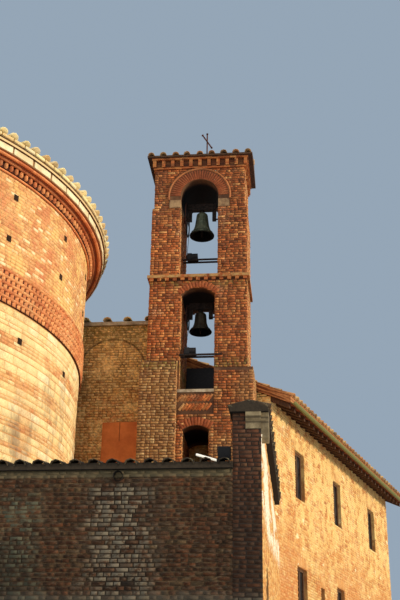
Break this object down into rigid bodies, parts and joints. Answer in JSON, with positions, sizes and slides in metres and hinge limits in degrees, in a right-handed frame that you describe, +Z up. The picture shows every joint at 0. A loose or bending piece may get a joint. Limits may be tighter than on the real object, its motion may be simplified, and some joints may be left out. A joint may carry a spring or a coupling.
{
  "type": "brick chapel with a bell tower, a round hall, an annex and a wing",
  "caption": "Brick chapel group: a slim open bell tower with swinging bells, a round hall with a conical roof, a walled annex and a splayed wing.",
  "frame": {"origin": "on the level ground, under the middle of the bell tower's shaft", "axes": "+X to the right along the bell tower's front, +Y away from the front, +Z up"},
  "size_m": [20.8596, 21.2588, 15.6392],
  "materials": {
    "brick_red": "weathered red brick with lime joints",
    "brick_stony": "stony, lime-stained yellow-brown brick",
    "pale_stone": "weathered pale dressed stone",
    "roof_tiles": "fired clay roof tile with moss",
    "bell_bronze": "cast bell bronze with grey-green patina",
    "rusty_iron": "rusty iron",
    "dark_paint": "dark painted steel",
    "hall_brick": "orange brick with pale stone bands",
    "old_wood": "old brown wood",
    "board_paint": "terracotta painted board",
    "lamp_paint": "grey painted metal",
    "dark_brick": "dark weathered brick",
    "lit_brick": "yellow-orange brick",
    "floor_concrete": "plain screed",
    "gutter_metal": "green-grey weathered metal",
    "window_glass": "dark window glass"
  },
  "bodies": {
    "building": {"bearings": "rusty_iron", "belfry_piers_lower": "brick_red", "belfry_piers_upper": "brick_red", "cornice": "brick_red", "cross": "rusty_iron", "drive_bars": "rusty_iron", "drive_chains": "rusty_iron", "floodlight": "lamp_paint", "front_coping": "roof_tiles", "front_wall": "dark_brick", "hall_cap": "roof_tiles", "hall_door": "old_wood", "hall_roof_a": "roof_tiles", "hall_roof_b": "roof_tiles", "hall_walls_front_back": "hall_brick", "hall_walls_right_back": "hall_brick", "hall_walls_right_front": "hall_brick", "hall_walls_side": "hall_brick", "imposts": "pale_stone", "lean_to_roof": "roof_tiles", "link_coping": "roof_tiles", "link_wall": "brick_stony", "middle_arch": "brick_red", "middle_sill": "pale_stone", "motors": "dark_paint", "opening_guard": "dark_paint", "pier_stones": "pale_stone", "shutter_board": "board_paint", "side_coping": "roof_tiles", "side_wall": "lit_brick", "string_course": "brick_red", "tower_bay_arch": "brick_stony", "tower_bay_foot": "brick_stony", "tower_left_pier": "brick_stony", "tower_right_pier": "brick_stony", "tower_roof": "roof_tiles", "upper_arch_left": "brick_red", "upper_arch_right": "brick_red", "wall_lamp": "lamp_paint", "wing_door": "old_wood", "wing_far_gable": "lit_brick", "wing_floors": "floor_concrete", "wing_gutters": "gutter_metal", "wing_near_gable": "lit_brick", "wing_rafters": "old_wood", "wing_roof_back": "roof_tiles", "wing_roof_front": "roof_tiles", "wing_wall_panels": "lit_brick", "wing_wall_piers": "lit_brick", "wing_window_frames": "old_wood", "wing_window_glass": "window_glass"},
    "upper_bell_set": {"upper_bell": "bell_bronze", "upper_headstock": "rusty_iron", "upper_wheel": "rusty_iron", "upper_clapper": "rusty_iron"},
    "lower_bell_set": {"lower_bell": "bell_bronze", "lower_headstock": "rusty_iron", "lower_wheel": "rusty_iron", "lower_clapper": "rusty_iron"}
  },
  "joints": [
    {"name": "upper_bell_swing", "type": "hinge", "parent": "building", "child": "upper_bell_set", "pos_m": [0, 0, 13.08], "axis": [1, 0, 0], "range_deg": [-60, 60]},
    {"name": "lower_bell_swing", "type": "hinge", "parent": "building", "child": "lower_bell_set", "pos_m": [0, 0, 10.42], "axis": [1, 0, 0], "range_deg": [-60, 60]}
  ]
}
